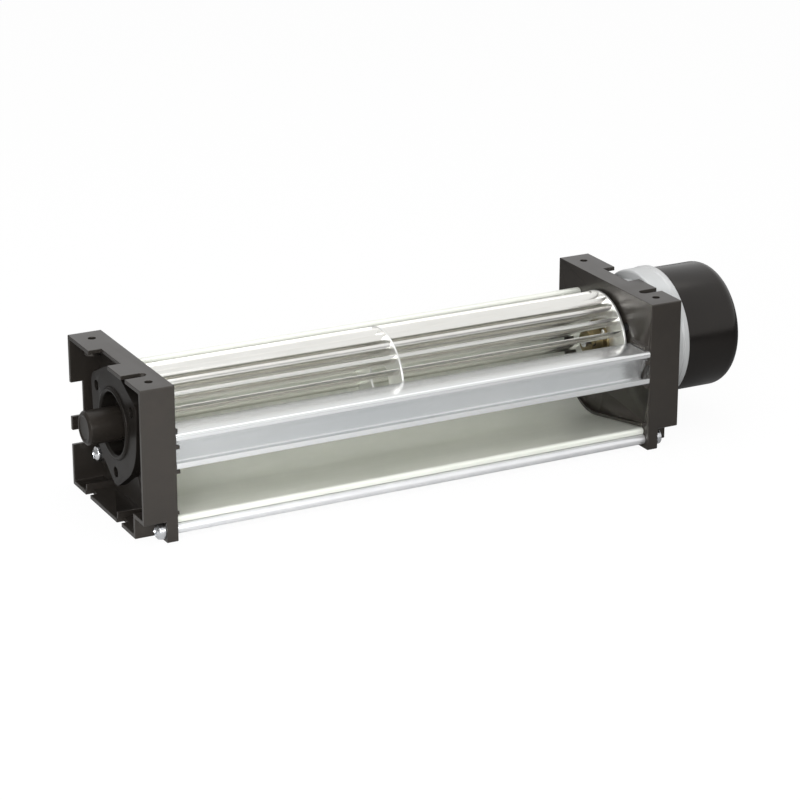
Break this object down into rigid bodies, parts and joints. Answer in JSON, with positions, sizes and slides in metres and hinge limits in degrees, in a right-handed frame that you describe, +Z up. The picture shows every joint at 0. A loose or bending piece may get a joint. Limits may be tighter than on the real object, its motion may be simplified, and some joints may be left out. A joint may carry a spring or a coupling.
{
  "type": "cross flow fan",
  "caption": "Long tangential fan: a drum rotor of curved blades between moulded brackets, with scroll casing, stabiliser, bearing plate and capped motor.",
  "frame": {"origin": "bottom centre of the overall box, on the plane that the two brackets stand on", "axes": "+X along the shaft from the bearing end to the motor, +Y from the air outlet to the back, +Z up"},
  "size_m": [0.4074, 0.106, 0.0933],
  "materials": {
    "bracket_plastic": "satin moulded",
    "sheet_metal": "bright zinc coated, lightly grained",
    "stabiliser_metal": "bright satin",
    "rod_steel": "bright zinc plated",
    "screw_steel": "bright zinc plated",
    "black_screw": "blackened",
    "plate_plastic": "satin moulded",
    "cap_plastic": "satin moulded",
    "bronze": "sintered",
    "rubber": "matt",
    "motor_steel": "satin drawn",
    "motor_cap_plastic": "soft gloss moulded",
    "lamination": "laminated, varnished",
    "copper": "enamelled copper wire",
    "rotor_aluminium": "bright rolled",
    "hub_brass": "turned",
    "shaft_steel": "ground",
    "spacer_plastic": "moulded"
  },
  "bodies": {
    "frame": {"bearing_bracket": "bracket_plastic", "motor_bracket": "bracket_plastic", "scroll_casing": "sheet_metal", "stabiliser": "stabiliser_metal", "front_tie_rod": "rod_steel", "rear_tie_rod": "rod_steel", "rod_screws": "screw_steel", "rod_washers": "screw_steel", "bearing_plate": "plate_plastic", "bearing_plate_screws": "black_screw", "sleeve_bearing": "bronze", "bearing_isolator": "rubber", "bearing_cap": "cap_plastic", "motor_housing": "motor_steel", "motor_cap": "motor_cap_plastic", "motor_screws": "screw_steel", "motor_nuts": "screw_steel", "front_motor_bearing": "bronze", "rear_motor_bearing": "bronze", "stator_core": "lamination", "stator_windings": "copper", "thrust_pad": "spacer_plastic"},
    "rotor": {"rotor_blades": "rotor_aluminium", "bearing_end_disc": "rotor_aluminium", "middle_disc": "rotor_aluminium", "motor_end_disc": "rotor_aluminium", "bearing_end_hub": "hub_brass", "motor_end_hub": "hub_brass", "hub_rivets": "rotor_aluminium", "hub_set_screw": "black_screw", "stub_shaft": "shaft_steel", "motor_shaft": "shaft_steel", "motor_rotor": "lamination", "shaft_spacers": "spacer_plastic"}
  },
  "joints": [
    {"name": "rotor_spin", "type": "hinge", "parent": "frame", "child": "rotor", "pos_m": [0, 0, 0.0535], "axis": [1, 0, 0], "continuous": true}
  ]
}
